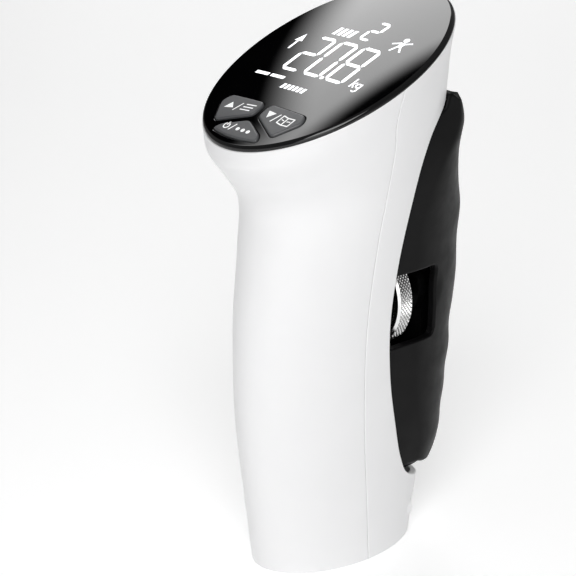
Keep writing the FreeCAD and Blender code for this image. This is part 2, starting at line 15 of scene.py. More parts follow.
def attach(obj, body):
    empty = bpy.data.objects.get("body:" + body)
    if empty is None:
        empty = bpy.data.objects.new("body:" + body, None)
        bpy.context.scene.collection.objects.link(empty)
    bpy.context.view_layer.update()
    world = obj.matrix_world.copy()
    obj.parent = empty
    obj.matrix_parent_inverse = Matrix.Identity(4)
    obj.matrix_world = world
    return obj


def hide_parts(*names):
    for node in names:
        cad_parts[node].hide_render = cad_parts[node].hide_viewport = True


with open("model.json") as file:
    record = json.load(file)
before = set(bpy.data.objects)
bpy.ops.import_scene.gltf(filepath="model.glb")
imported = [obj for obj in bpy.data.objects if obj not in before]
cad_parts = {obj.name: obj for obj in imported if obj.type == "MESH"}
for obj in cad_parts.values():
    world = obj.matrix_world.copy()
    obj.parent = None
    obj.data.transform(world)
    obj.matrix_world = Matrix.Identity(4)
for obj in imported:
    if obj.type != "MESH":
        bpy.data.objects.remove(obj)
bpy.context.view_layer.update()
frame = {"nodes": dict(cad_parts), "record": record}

MM = 0.001

# ---- driving dimensions, in millimetres ----
# height, tilt, centre y, half width, half depth to the palm, half depth to the fingers
BODY = np.array((
    (0, 0, 0, 16, 26, 26), (20, 0, -1.2, 15.8, 27.7, 31.2),
    (45, 0, -2.7, 16.1, 29.3, 34.2), (70, 0, -2.8, 16.9, 29.3, 34.2),
    (92, 4, -1.2, 18.6, 28.6, 33.5), (108, 10, 0.5, 20.9, 29.2, 33),
    (120, 16, 0, 24.4, 33.6, 34.3), (130, 21, -2, 27.4, 37.3, 37.3),
    (137.4, 24.6, -2.1, 30, 38.4, 38.3),
))
WALL = 1.8
# (height, y) of the seam
SEAM = np.array(((-6, 0.0), (20, -1.2), (45, -2.7), (70, -2.8), (92, -1.2), (108, 0.1),
                 (120, -1.0), (130, -3.0), (160, -3.4)), float)
SEAM_GAP = 0.15
# (y, height) of the handle bay's edge, seen from the side
BAY_EDGE = ((46, 129.6), (33, 128.2), (24, 126.2), (17.3, 121.7), (14.4, 115), (11.6, 102),
            (8.2, 85), (6.5, 68), (7.5, 52), (10.3, 38), (13.4, 26.5), (18.1, 19.5), (30, 15.0),
            (46, 11.5))
BASE_SCREWS = ((-9.0, 8.2), (9.0, 8.2))
SCREW_WELL_R = 2.4
SOCKET_Z, SOCKET_HALF_WIDTH, SOCKET_HALF_HEIGHT = 6.9, 4.75, 1.75
FOOT_HALF_WIDTH, FOOT_HALF_DEPTH, FOOT_INSET = 16.0, 26.0, 1.0

TILT = math.radians(BODY[-1][1])
RIM = np.array((0.0, BODY[-1][2], BODY[-1][0]))
ACROSS = np.array((1.0, 0.0, 0.0))
UPSLOPE = np.array((0.0, math.cos(TILT), math.sin(TILT)))
NORMAL = np.array((0.0, -math.sin(TILT), math.cos(TILT)))
RIM_A, RIM_B = 30.0, 38.3
LENS_RISE, LENS_DROP = 2.5, 1.232
KEY = ((-10.6, -31.1), (-1.1, -26.4), (-1.0, -22.6), (-2.0, -21.3), (-14.4, -21.5),
       (-15.8, -24.4), (-11.6, -30.9))
BUTTONS = {
    "button_up": KEY,
    "button_down": tuple((-x, v) for x, v in KEY[::-1]),
    "button_power": ((-2.6, -35.25), (2.6, -35.25), (8.7, -34.3), (7.6, -32.1), (0.0, -28.4),
                     (-7.6, -32.1), (-8.7, -34.3)),
}
BUTTON_GAP = 0.2
BUTTON_RAISE = 0.55
BUTTON_CORNER, HOLE_CORNER, FLANGE_GROW, FLANGE_LIFT = 1.3, 1.5, 0.5, -1.9
PRINT_DEPTH = 0.06

# height, half width, y where the flanks end, y of the outermost line
GRIP = np.array((
    (12, 8, 22.5, 27), (16, 9.3, 22.5, 31.6),
    (20, 10.4, 23, 35.2), (24, 11.1, 23, 37.6),
    (29, 11.8, 22.8, 38.8), (34, 12.4, 21.5, 39.1),
    (40, 12.9, 20.2, 40.4), (46, 13.3, 19.2, 40.8),
    (52, 13.6, 18.5, 42.1), (59, 13.9, 18, 41.9),
    (66, 14.1, 17.6, 43.3), (74, 14.4, 17.4, 44.2),
    (84, 14.8, 17.4, 44), (93, 15.4, 17.8, 44.7),
    (101, 16.2, 20, 42.7), (108, 17, 22.5, 40.9),
    (115, 17.4, 26.5, 39), (120, 17.3, 29, 38.7),
    (124, 17.1, 29.5, 36.8), (128, 17, 29, 33.5),
))
# (height, y) of the flanks' front edge
GRIP_FRONT = np.array(((12, 11), (22, 5), (30, 1), (45, -2.5), (65, -4.5), (85, -3.5), (105, 0),
                       (118, 4), (128, 7)), float)
# (x, height) limit of the handle's top
GRIP_ARCH = ((0, 127.2), (9, 127.4), (12, 127.8), (14.5, 128.4), (16, 128.8), (18.6, 129.2))
# The casing's skin behind the handle's top (x, y), and the ridge of that top by its distance
# outside the skin.
SKIN_BACK = ((0, 33.0), (5, 32.3), (9, 30.7), (12, 28.8), (14.5, 26.7), (16, 25.2), (17, 24.1),
             (19, 21.4))
GRIP_RIDGE = ((-60, 100), (0.2, 125.0), (0.9, 127.8), (1.5, 128.8), (2.1, 129.0), (3.3, 128.5),
              (4.8, 127.4), (6.4, 126.1), (12, 121))
# (y, height) of the top inside the casing, then (x, height) of the heel outside and inside it
GRIP_CROWN = ((-20, 123.6), (10, 123.6), (19, 123.7), (26, 125.3), (32, 126.4), (48, 128.0))
GRIP_HEEL = ((0, 12.9), (6, 13.9), (10, 17.0), (13.4, 24.0))
GRIP_LIP = ((0, 16.5), (4, 16.6), (6, 17.2), (8, 18.4), (10.4, 20.2), (13.4, 26.6))
HEEL_SLOPE, HEEL_Y = 0.32, 18.5
GRIP_WALL, GRIP_POWER = 2.2, 1.8
ARC_SPAN = 25.0                # half the domain's width that the rounded back takes
END_POINTS = 74                # points along the handle's top edge, and along its heel
EDGE_STEP = 1.2
WINDOW = (26.0, 59.6, 80.3)    # y of the finger window's back, its lowest and highest z
WINDOW_FRONT, WINDOW_CORNER = -2.5, 2.0
TOP_FLANK, TOP_GUESS = -46.0, 120.0            # flank line and first height tried, at the top
HEEL_FLANK, HEEL_GUESS = -37.0, 20.0
HEEL_ROUND, TOP_ROUND, SCOOP_ROUND, FLANK_ROUND, CORNER_ROUND = 1.6, 0.9, 0.8, 0.45, 0.6
SCOOP_REACH = 11.0
CAP_BITE, CAP_SINK, CAP_DEPTH = 0.4, 0.03, 2.4
WINDOW_HALF = 14.4             # half width of the handle beside the finger window
SCOOP_RADIUS, SCOOP_DEPTH, SCOOP_AT = 21.0, 1.8, (28.5, 72.5)

AXIS_Z = 71.5
WHEEL_R, WHEEL_FRONT, WHEEL_BACK, WHEEL_CHAMFER = 14.6, 11.1, 16.4, 0.7
HUB_R, HUB_BACK, RECESS_R, RECESS_DEPTH = 6.6, 17.0, 11.4, 1.2
KNURL_ROUND, KNURL_ROWS, KNURL_DEPTH = 70, 16, 0.5
SPINDLE_R, JOURNAL_R = 4.0, 3.0
SPINDLE_FRONT, SPINDLE_BACK = -6.6, 39.2
CLIP_FRONT, CLIP_BACK, CLIP_R = -5.8, -5.0, 2.3
THREAD_LEAD, THREAD_STARTS, THREAD_DEPTH = 4.0, 2, 0.5
TURN_SCALE = 25.0             # millimetres of casing surface for one radian

# ---- light and camera, in metres, degrees and watts ----
ROOM_LEVEL, STRIP_LEVEL, BACKDROP_LEVEL = 0.23, 4.2, 0.97
STRIP_AZIMUTH = 160.0
STRIP_RISE, STRIP_TOP, STRIP_SIDES = (32.5, 39.5), (46.0, 49.0), (20.0, 34.0)
STRIP_SLANT, STRIP_SLANT_LIMIT = 0.9, 0.16
SCREEN_SIDES, SCREEN_FOOT, SCREEN_TOP = (15.0, 24.0), (12.0, 20.0), (52.0, 62.0)
# name, place, target, width, height and power of each soft box
SOFT_BOXES = (
    ("key_box", (0.788, -0.788, 1.084), (0, 0, 0.08), 0.8, 0.8, 11.6),
    ("side_box", (1.037, -1.037, 0.392), (0, 0, 0.08), 0.8, 0.55, 2.6),
    ("edge_box", (1.467, 0.0, 0.392), (0, 0, 0.08), 0.8, 0.55, 0.42),
    ("rear_box", (-1.037, 1.037, 0.392), (0, 0, 0.08), 0.8, 0.55, 1.5),
)
FLOOR_HALF, FLOOR_CELLS, FLOOR_DROP, FLOOR_GLOW = 3.0, 24, 0.0001, 0.3
CAMERA_AT, CAMERA_AZIMUTH, CAMERA_ELEVATION = (0.36935, -0.33139, 0.25439), 49.516, 19.806
CAMERA_SENSOR, CAMERA_LENS, CAMERA_FAR = 36.0, 121.646, 20.0


# ---- curves ----
def smooth_rows(rows, s):
    """Rows at places s along a table, by a Catmull-Rom curve through its rows."""
    rows = np.vstack((2 * rows[0] - rows[1], rows, 2 * rows[-1] - rows[-2]))
    s = np.clip(np.asarray(s, float), 0, len(rows) - 3)
    i = np.minimum(s.astype(int), len(rows) - 4)
    u = (s - i)[:, None]
    a, b, c, d = rows[i], rows[i + 1], rows[i + 2], rows[i + 3]
    return 0.5 * (2 * b + (c - a) * u + (2 * a - 5 * b + 4 * c - d) * u * u
                  + (3 * b - a - 3 * c + d) * u ** 3)


def fine_table(rows):
    """The same smooth curve as a fine polyline."""
    rows = np.asarray(rows, float)
    return smooth_rows(rows, np.linspace(0, len(rows) - 1, 60 * len(rows)))


def even(points, n):
    """n points at equal steps along a fine polyline."""
    points = np.asarray(points, float)
    run = np.concatenate(([0], np.cumsum(np.linalg.norm(np.diff(points, axis=0), axis=1))))
    at = np.linspace(0, run[-1], n)
    return np.stack([np.interp(at, run, points[:, k]) for k in range(points.shape[1])], 1)


def ringed(points, step):
    """Closed outline resampled at about equal steps."""
    closed = np.vstack((points, points[:1]))
    length = np.sum(np.linalg.norm(np.diff(closed, axis=0), axis=1))
    return even(closed, max(8, int(length / step)) + 1)[:-1]


def run_between(a, b):
    """Points strictly between two places."""
    n = max(2, int(np.linalg.norm(np.subtract(b, a)) / EDGE_STEP) + 1)
    return np.linspace(a, b, n, endpoint=False)[1:]


def rounded_outline(points, corner, grow=0.0):
    """Convex outline moved outwards by grow, with softened corners."""
    points = np.asarray(points, float)
    n = len(points)
    lines = []
    for i in range(n):
        a, b = points[i], points[(i + 1) % n]
        d = normalised(b - a)
        lines.append((a + grow * np.array((d[1], -d[0])), d))
    corners = []
    for i in range(n):
        (a, d), (b, e) = lines[i - 1], lines[i]
        t = np.linalg.solve(np.stack((d, -e), 1), b - a)
        corners.append(a + d * t[0])
    outline = []
    for i in range(n):
        before, here, after = corners[i - 1], corners[i], corners[(i + 1) % n]
        sides = np.linalg.norm(before - here), np.linalg.norm(after - here)
        reach = min(corner, 0.45 * min(sides))
        start = here + normalised(before - here) * reach
        end = here + normalised(after - here) * reach
        for k in np.linspace(0, 1, 9):
            outline.append(start * (1 - k) ** 2 + 2 * here * k * (1 - k) + end * k * k)
    return ringed(np.array(outline), 0.35)


# ---- meshes ----
def normalised(v):
    return v / np.maximum(np.linalg.norm(v, axis=-1, keepdims=True), 1e-12)


def surface_at(place, q):
    """Points, outward normals and both derivatives of place(q)."""
    e = 0.02
    du = (place(q + (e, 0)) - place(q - (e, 0))) / (2 * e)
    dv = (place(q + (0, e)) - place(q - (0, e))) / (2 * e)
    return place(q), normalised(np.cross(du, dv)), du, dv


def inside_loops(points, loops):
    """Even-odd test of 2D points against closed loops."""
    x, y = points[:, 0], points[:, 1]
    odd = np.zeros(len(points), bool)
    for loop in loops:
        for (x0, y0), (x1, y1) in zip(loop, np.roll(loop, -1, axis=0)):
            if y0 != y1:
                odd ^= ((y0 > y) != (y1 > y)) & (x < (x1 - x0) * (y - y0) / (y1 - y0) + x0)
    return odd


def loop_area(loop):
    x, y = loop[:, 0], loop[:, 1]
    return 0.5 * np.sum(x * np.roll(y, -1) - np.roll(x, -1) * y)


def filling(loops, step):
    """Triangular grid inside the loops, and the triangles that join it to them."""
    low, high = np.min(loops[0], axis=0), np.max(loops[0], axis=0)
    nu = max(2, int((high[0] - low[0]) / step))
    nv = max(2, int((high[1] - low[1]) / (step * 0.866)))
    i, j = np.meshgrid(np.arange(nu), np.arange(1, nv))
    grid = np.stack(((low[0] + (i + 0.5 * (j % 2)) * (high[0] - low[0]) / nu).ravel(),
                     (low[1] + j * (high[1] - low[1]) / nv).ravel()), 1)
    keep = inside_loops(grid, loops)
    rim = np.vstack(loops)
    for k in range(0, len(grid), 2000):
        gap = np.hypot(grid[k:k + 2000, None, 0] - rim[None, :, 0],
                       grid[k:k + 2000, None, 1] - rim[None, :, 1])
        keep[k:k + 2000] &= gap.min(axis=1) > 0.55 * step
    grid = grid[keep]
    domain = np.vstack(loops + [grid])
    edges, base = [], 0
    for loop in loops:
        n = len(loop)
        edges += [(base + k, base + (k + 1) % n) for k in range(n)]
        base += n
    made = delaunay_2d_cdt([Vector(p) for p in domain], edges, [], 0, 1e-7, True)
    if len(made[0]) != len(domain) or any(len(ids) != 1 for ids in made[3]):
        raise ValueError("a sheet's outline crosses itself")
    origin = np.array([ids[0] for ids in made[3]])
    tris = origin[np.array([tuple(t) for t in made[2]])]
    tris = tris[inside_loops(domain[tris].mean(axis=1), loops)]
    a, b, c = domain[tris[:, 0]], domain[tris[:, 1]], domain[tris[:, 2]]
    turn = (b[:, 0] - a[:, 0]) * (c[:, 1] - a[:, 1]) - (b[:, 1] - a[:, 1]) * (c[:, 0] - a[:, 0])
    tris[turn < 0] = tris[turn < 0][:, ::-1]
    return grid, tris


def sheet(place, loops, step, thickness, radii, arcs=4):
    """Thick sheet over a 2D domain with rounded outer edges: vertices, faces and normals.

    place(q) maps the domain to points. loops are the outline and its holes, and radii gives the
    edge radius of each loop, as a number or as one number a point.
    """
    shrunk, full, strips = [], [], []
    for k, (loop, radius) in enumerate(zip(loops, radii)):
        loop = np.asarray(loop, float)
        radius = np.broadcast_to(np.asarray(radius, float), (len(loop),))[:, None]
        if (loop_area(loop) > 0) != (k == 0):
            loop, radius = loop[::-1], radius[::-1]
        points, normals, du, dv = surface_at(place, loop)
        along = normalised(np.roll(points, -1, axis=0) - np.roll(points, 1, axis=0))
        side = normalised(np.cross(along, normals))
        back = np.einsum("nij,nj->ni", np.linalg.pinv(np.stack((du, dv), -1)), side * radius)
        shrunk.append(loop - back)
        full.append(loop)
        top, up, _, _ = surface_at(place, loop - back)
        rings = []
        for i in range(1, arcs + 1):
            a = 0.5 * math.pi * i / arcs
            rings.append((top - up * radius * (1 - math.cos(a)) + side * radius * math.sin(a),
                          normalised(up * math.cos(a) + side * math.sin(a))))
        rings.append((points - normals * (thickness - 0.1), side))
        strips.append(rings)
    grid, tris = filling(shrunk, step)
    domain, under = np.vstack(shrunk + [grid]), np.vstack(full + [grid])
    top, up, _, _ = surface_at(place, domain)
    low, down, _, _ = surface_at(place, under)
    verts, normals = [top, low - down * thickness], [up, -down]
    faces = [tuple(t) for t in tris] + [tuple(t[::-1] + len(domain)) for t in tris]
    count, base = 2 * len(domain), 0
    for rings in strips:
        n = len(rings[0][0])
        ids = [np.arange(base, base + n)]
        for points, ring_normals in rings:
            verts.append(points)
            normals.append(ring_normals)
            ids.append(np.arange(count, count + n))
            count += n
        ids.append(np.arange(base, base + n) + len(domain))
        for upper, lower in zip(ids, ids[1:]):
            for i in range(n):
                j = (i + 1) % n
                faces.append((upper[i], lower[i], lower[j], upper[j]))
        base += n
    return np.vstack(verts), faces, np.vstack(normals)


def placed(name, data):
    piece = bpy.data.objects.new(name, data)
    bpy.context.scene.collection.objects.link(piece)
    return piece


def new_object(name, verts, faces, normals=None, smooth=True):
    mesh = bpy.data.meshes.new(name)
    mesh.from_pydata([tuple(v) for v in np.asarray(verts, float) * MM], [],
                     [tuple(int(i) for i in f) for f in faces])
    mesh.polygons.foreach_set("use_smooth", [smooth] * len(mesh.polygons))
    if normals is not None:
        mesh.normals_split_custom_set_from_vertices([tuple(n) for n in normals])
    mesh.update()
    return placed(name, mesh)


def joined(parts):
    """One (verts, faces, normals) out of several."""
    verts, faces, normals, base = [], [], [], 0
    for v, f, n in parts:
        verts.append(np.asarray(v, float))
        normals.append(np.asarray(n, float))
        faces += [tuple(i + base for i in face) for face in f]
        base += len(v)
    return np.vstack(verts), faces, np.vstack(normals)


def turned(profile, steps, centre):
    """Ring turned about a line along Y from a closed profile of (y, radius), corners creased."""
    turns = 2 * math.pi * np.arange(steps) / steps
    verts, normals = [], []
    for (y0, r0), (y1, r1) in zip(profile, np.roll(profile, -1, axis=0)):
        d = np.array((y1 - y0, r1 - r0)) / math.hypot(y1 - y0, r1 - r0)
        for y, r in ((y0, r0), (y1, r1)):
            verts.append(np.stack((centre[0] + r * np.cos(turns), np.full(steps, y),
                                   centre[1] + r * np.sin(turns)), 1))
            normals.append(np.stack((d[0] * np.cos(turns), np.full(steps, -d[1]),
                                     d[0] * np.sin(turns)), 1))
    return verts, normals


def ring_strip(rings, closed=False):
    """Quads between successive rings of equal length."""
    n = len(rings[0])
    faces = []
    for k in range(len(rings) if closed else len(rings) - 1):
        a, b = k * n, ((k + 1) % len(rings)) * n
        for i in range(n):
            j = (i + 1) % n
            faces.append((a + i, b + i, b + j, a + j))
    return faces


# ---- casing ----
BODY_PLACES = np.linspace(0, len(BODY) - 1, 801)
BODY_HEIGHTS = smooth_rows(BODY, BODY_PLACES)[:, 0]
QUARTER = 0.5 * math.pi * TURN_SCALE
TOP = BODY[-1][0]
SEAM_FINE = fine_table(SEAM)
BAY_FINE = fine_table(BAY_EDGE)
BAY_TIP = int(np.argmin(BAY_FINE[:, 0]))


def body_place(q):
    """q is (turn times TURN_SCALE, height of the section)."""
    rows = smooth_rows(BODY, np.interp(q[:, 1], BODY_HEIGHTS, BODY_PLACES))
    height, tilt, centre, half, palm, fingers = rows.T
    turn = q[:, 0] / TURN_SCALE
    lean = np.radians(tilt)
    v = np.where(np.sin(turn) > 0, fingers, palm) * np.sin(turn)
    beyond = np.maximum(q[:, 1] - TOP, 0) + np.minimum(q[:, 1], 0)
    return np.stack((half * np.cos(turn), centre + v * np.cos(lean) - beyond * np.sin(lean),
                     height + v * np.sin(lean) + beyond * np.cos(lean)), 1)


def find_q(targets, guess, axes):
    """Domain points of the casing whose two given coordinates match the targets."""
    q = np.array(guess, float)
    targets = np.asarray(targets, float)
    for _ in range(14):
        p, _, du, dv = surface_at(body_place, q)
        jac = np.stack((du[:, axes], dv[:, axes]), -1)
        step = np.einsum("nij,nj->ni", np.linalg.pinv(jac), targets - p[:, axes])
        q += np.clip(step, -4, 4)
    return q


def seam_line(offset):
    """Domain points of the seam on the right side, from the base to the rim."""
    z = np.linspace(0.0, TOP, 90)
    y = np.interp(z, SEAM_FINE[:, 0], SEAM_FINE[:, 1]) + offset
    q = find_q(np.stack((y, z), 1), np.stack((0 * z, z), 1), [1, 2])
    q = q[q[:, 1] < TOP - 0.8]
    q[0, 1] = 0.0
    return np.vstack((q, (q[-1, 0], TOP)))


def mirrored(line, about):
    return np.stack((2 * about - line[:, 0], line[:, 1]), 1)


def band(right, about):
    """Outline of the casing's half between a right seam and its mirror image."""
    left = mirrored(right, about)
    a, b = (left, right) if about < 0 else (right, left)
    return np.vstack((a[0], run_between(a[0], b[0]), b, run_between(b[-1], a[-1]), a[:0:-1]))


def bay_branch(edge):
    """Domain points along one side of the bay's edge, from its front tip to the back's middle."""
    near = edge[edge[:, 0] < 27]
    guess_turn = np.arcsin(np.clip((near[:, 0] + 1.5) / 34, 0, 0.95))
    guess = np.stack((guess_turn * TURN_SCALE, near[:, 1] - 0.2 * near[:, 0]), 1)
    q = find_q(near, guess, [1, 2])
    turns = np.linspace(q[-1, 0], QUARTER, 22)[1:]
    low, high = np.full(len(turns), 5.0), np.full(len(turns), TOP)
    order = np.argsort(edge[:, 0])
    for _ in range(40):
        middle = 0.5 * (low + high)
        p = body_place(np.stack((turns, middle), 1))
        above = p[:, 2] > np.interp(p[:, 1], edge[order, 0], edge[order, 1])
        high = np.where(above, middle, high)
        low = np.where(above, low, middle)
    return np.vstack((q, np.stack((turns, middle), 1)))


def bay_hole():
    """Domain outline of the handle bay in the finger side."""
    upper, lower = bay_branch(BAY_FINE[:BAY_TIP + 1][::-1]), bay_branch(BAY_FINE[BAY_TIP:])
    half = even(np.vstack((upper[::-1], lower[1:])), 150)
    other = mirrored(half, QUARTER)[::-1]
    return np.vstack((half, other[1:-1]))


def on_back(at):
    """Domain points of the casing's back that have the given x and z."""
    return find_q(at, np.stack((QUARTER - 1.2 * at[:, 0], at[:, 1]), 1), [0, 2])


def back_circle(x, z, radius):
    a = np.linspace(0, 2 * math.pi, 32, endpoint=False)
    return on_back(np.stack((x + radius * np.cos(a), z + radius * np.sin(a)), 1))


def back_slot(half_width, half_height, z):
    a = np.linspace(-0.5 * math.pi, 0.5 * math.pi, 11)
    right = np.stack((half_width - half_height + half_height * np.cos(a),
                      z + half_height * np.sin(a)), 1)
    return on_back(ringed(np.vstack((right, mirrored(right[::-1], 0.0))), 0.5))


def floor_half(sign):
    """Half of the base's floor, set in a little from the wall's foot."""
    n, gap = 48, 0.08
    turn = np.linspace(0, math.pi, n)
    x = (FOOT_HALF_WIDTH - FOOT_INSET) * np.cos(turn)
    y = sign * ((FOOT_HALF_DEPTH - FOOT_INSET) * np.sin(turn) + gap)
    low = np.stack((x, y, np.full(n, 0.15)), 1)
    high = np.stack((x, y, np.full(n, 2.4)), 1)
    up = np.tile((0.0, 0.0, 1.0), (n, 1))
    verts, normals = np.vstack((low, high)), np.vstack((-up, up))
    faces = [tuple(range(n))[::-sign], tuple(range(n, 2 * n))[::sign]]
    for i in range(n):
        j = (i + 1) % n
        quad = (i, j, n + j, n + i)
        faces.append(quad[::sign])
    return verts, faces, normals


def screw_well(x, z):
    """Tube that lines the deep recess of a casing screw."""
    profile = ((8.6, 1.5), (6.0, 1.5), (6.0, 3.0), (20.0, 3.0), (20.0, SCREW_WELL_R),
               (8.6, SCREW_WELL_R))
    verts, normals = turned(profile, 32, (x, z))
    return np.vstack(verts), ring_strip(verts, closed=True), np.vstack(normals)


def casing():
    front = sheet(body_place, [band(seam_line(-0.5 * SEAM_GAP), -QUARTER)], 1.3, WALL, [0.3])
    shell = new_object("casing_front", *joined([front, floor_half(-1)]))
    finish_piece(shell, "casing", "white_casing", "front_shell")

    loops = [band(seam_line(0.5 * SEAM_GAP), QUARTER), bay_hole()]
    loops += [back_circle(x, z, SCREW_WELL_R) for x, z in BASE_SCREWS]
    loops.append(back_slot(SOCKET_HALF_WIDTH, SOCKET_HALF_HEIGHT, SOCKET_Z))
    rear = sheet(body_place, loops, 1.3, WALL, [0.3, 0.5, 0.2, 0.2, 0.25])
    wells = [screw_well(x, z) for x, z in BASE_SCREWS]
    shell = new_object("casing_rear", *joined([rear, floor_half(1)] + wells))
    finish_piece(shell, "casing", "white_casing", "rear_shell")


def finish_piece(piece, body, slot, *nodes, look=None):
    piece.data.materials.append(MATERIALS[look or slot])
    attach(piece, body)
    if nodes:
        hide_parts(*nodes)


# ---- display ----
def dome_height(q):
    return LENS_RISE - LENS_DROP * ((q[:, 0] / RIM_A) ** 2 + (q[:, 1] / RIM_B) ** 2)


def dome_place(q, lift=0.0):
    h = dome_height(q) + lift
    return RIM + q[:, :1] * ACROSS + q[:, 1:] * UPSLOPE + h[:, None] * NORMAL


def display():
    turn = np.linspace(0, 2 * math.pi, 181)[:-1]
    rim = np.stack(((RIM_A - 0.1) * np.cos(turn), (RIM_B - 0.1) * np.sin(turn)), 1)
    holes = [rounded_outline(points, HOLE_CORNER, BUTTON_GAP) for points in BUTTONS.values()]
    lens = sheet(dome_place, [rim] + holes, 1.4, 1.24, [1.15, 0.22, 0.22, 0.22], arcs=6)
    piece = new_object("display_window", *lens)
    finish_piece(piece, "casing", "black_lens", "display_lens")
    for name, points in BUTTONS.items():
        cap = sheet(lambda q: dome_place(q, BUTTON_RAISE),
                    [rounded_outline(points, BUTTON_CORNER)], 0.6, 3.2, [0.5], arcs=5)
        flange = sheet(lambda q: dome_place(q, FLANGE_LIFT),
                       [rounded_outline(points, HOLE_CORNER, FLANGE_GROW)], 1.5, 0.6, [0.1],
                       arcs=1)
        piece = new_object(name + "_cap", *joined([cap, flange]))
        finish_piece(piece, name, "grey_button", name)


def prism(points, lift):
    """Thin printed patch with a convex outline, lying on the dome."""
    points = np.asarray(points, float)
    if loop_area(points) < 0:
        points = points[::-1]
    n = len(points)
    verts = np.vstack((dome_place(points, lift), dome_place(points, lift - PRINT_DEPTH)))
    faces = [tuple(range(n)), tuple(range(n, 2 * n))[::-1]]
    faces += [(i, n + i, n + (i + 1) % n, (i + 1) % n) for i in range(n)]
    return verts, faces, np.tile(NORMAL, (2 * n, 1))


def stroke(points, width, lift, closed=False):
    """Line of even width through points, as a row of patches."""
    points = np.asarray(points, float)
    parts = []
    pairs = list(zip(points, points[1:]))
    if closed:
        pairs.append((points[-1], points[0]))
    for a, b in pairs:
        d = normalised(b - a)
        n = 0.5 * width * np.array((-d[1], d[0]))
        reach = 0.15 * width * d
        parts.append(prism((a - n - reach, b - n + reach, b + n + reach, a + n - reach), lift))
    return parts


def circle(x, v, radius, n=20, start=0.0, sweep=360.0):
    a = np.radians(np.linspace(start, start + sweep, n, endpoint=sweep < 360))
    return np.stack((x + radius * np.cos(a), v + radius * np.sin(a)), 1)


SEGMENTS = {
    "a": ((-1, 2), (1, 2)), "b": ((1, 2), (1, 1)), "c": ((1, 1), (1, 0)), "d": ((-1, 0), (1, 0)),
    "e": ((-1, 1), (-1, 0)), "f": ((-1, 2), (-1, 1)), "g": ((-1, 1), (1, 1)),
}
DIGITS = {"0": "abcdef", "2": "abged", "8": "abcdefg"}


def digit(shape, x, v, half_width, half_height, width, slant, lift):
    """Seven-segment numeral; slant leans its top to the right."""
    parts = []
    for name in DIGITS[shape]:
        a, b = (np.array((x + i * half_width + (j - 1) * slant, v + (j - 1) * half_height))
                for i, j in SEGMENTS[name])
        d = normalised(b - a)
        n = 0.5 * width * np.array((-d[1], d[0]))
        cut, tip = 0.62 * width * d, 0.14 * width * d
        a, b = a + tip, b - tip
        parts.append(prism((a, a + cut - n, b - cut - n, b, b - cut + n, a + cut + n), lift))
    return parts


def bars(x0, x1, v0, v1, count, slant, lift):
    """Row of slanted bars standing for a short caption."""
    pitch = (x1 - x0) / count
    parts = []
    for k in range(count):
        x = x0 + pitch * k
        w = 0.62 * pitch
        parts.append(prism(((x, v0), (x + w, v0), (x + w + slant, v1), (x + slant, v1)), lift))
    return parts


def drawn(rows, lift):
    """Lines from rows of (width, points, closed), and patches where the width is None."""
    parts = []
    for width, points, *closed in rows:
        parts += stroke(points, width, lift, *closed) if width else [prism(points, lift)]
    return parts


READING = (("2", -6.7), ("0", 1.77), ("8", 10.2))      # numeral and the x of its middle
ARROW = (
    (None, ((-16.1, 0.5), (-15.4, 0.5), (-15.3, 4.4), (-16.0, 4.4))),
    (None, ((-17.1, 4.2), (-14.2, 4.2), (-15.5, 7.5))),
)
# the letter k, then g
UNIT_MARK = (
    (0.42, ((16.0, -7.4), (16.35, -4.0))),
    (0.38, ((16.2, -6.4), (17.4, -5.3))),
    (0.38, ((16.5, -6.2), (17.3, -7.4))),
    (0.38, circle(18.5, -6.3, 0.75, 14), True),
    (0.38, ((19.3, -5.4), (19.1, -8.2), (18.6, -8.7), (17.8, -8.5))),
)
FIGURE = (
    (None, circle(16.3, 14.2, 0.85, 16)),
    (None, ((15.5, 13.0), (15.7, 11.0), (17.0, 11.0), (17.3, 13.0))),
    (0.5, ((15.6, 12.7), (13.4, 11.7))),
    (0.5, ((17.2, 12.7), (19.0, 13.6))),
    (0.55, ((15.9, 11.2), (14.8, 9.0))),
    (0.55, ((16.8, 11.2), (18.1, 9.3))),
)
KEY_LINE = 0.36
KEY_MARKS = {
    "button_up": (
        (None, ((-12.4, -26.6), (-9.4, -26.0), (-11.2, -24.1))),
        (KEY_LINE, ((-8.6, -26.8), (-7.4, -23.7))),
        (KEY_LINE, ((-6.6, -25.9), (-3.2, -25.6))),
        (KEY_LINE, ((-6.3, -24.8), (-2.9, -24.5))),
        (KEY_LINE, ((-6.0, -23.7), (-2.6, -23.4))),
    ),
    "button_down": (
        (None, ((2.9, -23.6), (5.9, -23.9), (4.1, -26.1))),
        (KEY_LINE, ((6.4, -26.9), (7.6, -23.8))),
        (KEY_LINE, ((8.6, -26.6), (10.6, -27.0), (12.8, -26.8), (13.0, -24.0), (10.8, -24.2),
                    (8.8, -23.8)), True),
        (KEY_LINE, ((10.6, -27.0), (10.8, -24.2))),
        (0.28, ((9.3, -25.2), (10.2, -25.4))),
        (0.28, ((11.3, -25.4), (12.4, -25.2))),
    ),
    "button_power": (
        (KEY_LINE, circle(-4.9, -32.3, 0.95, 16, 125, 290)),
        (KEY_LINE, ((-4.9, -32.1), (-4.8, -30.9))),
        (KEY_LINE, ((-3.1, -33.5), (-2.1, -31.0))),
        *((None, circle(x, -32.4, 0.62, 14)) for x in (-0.4, 1.6, 3.6)),
    ),
}


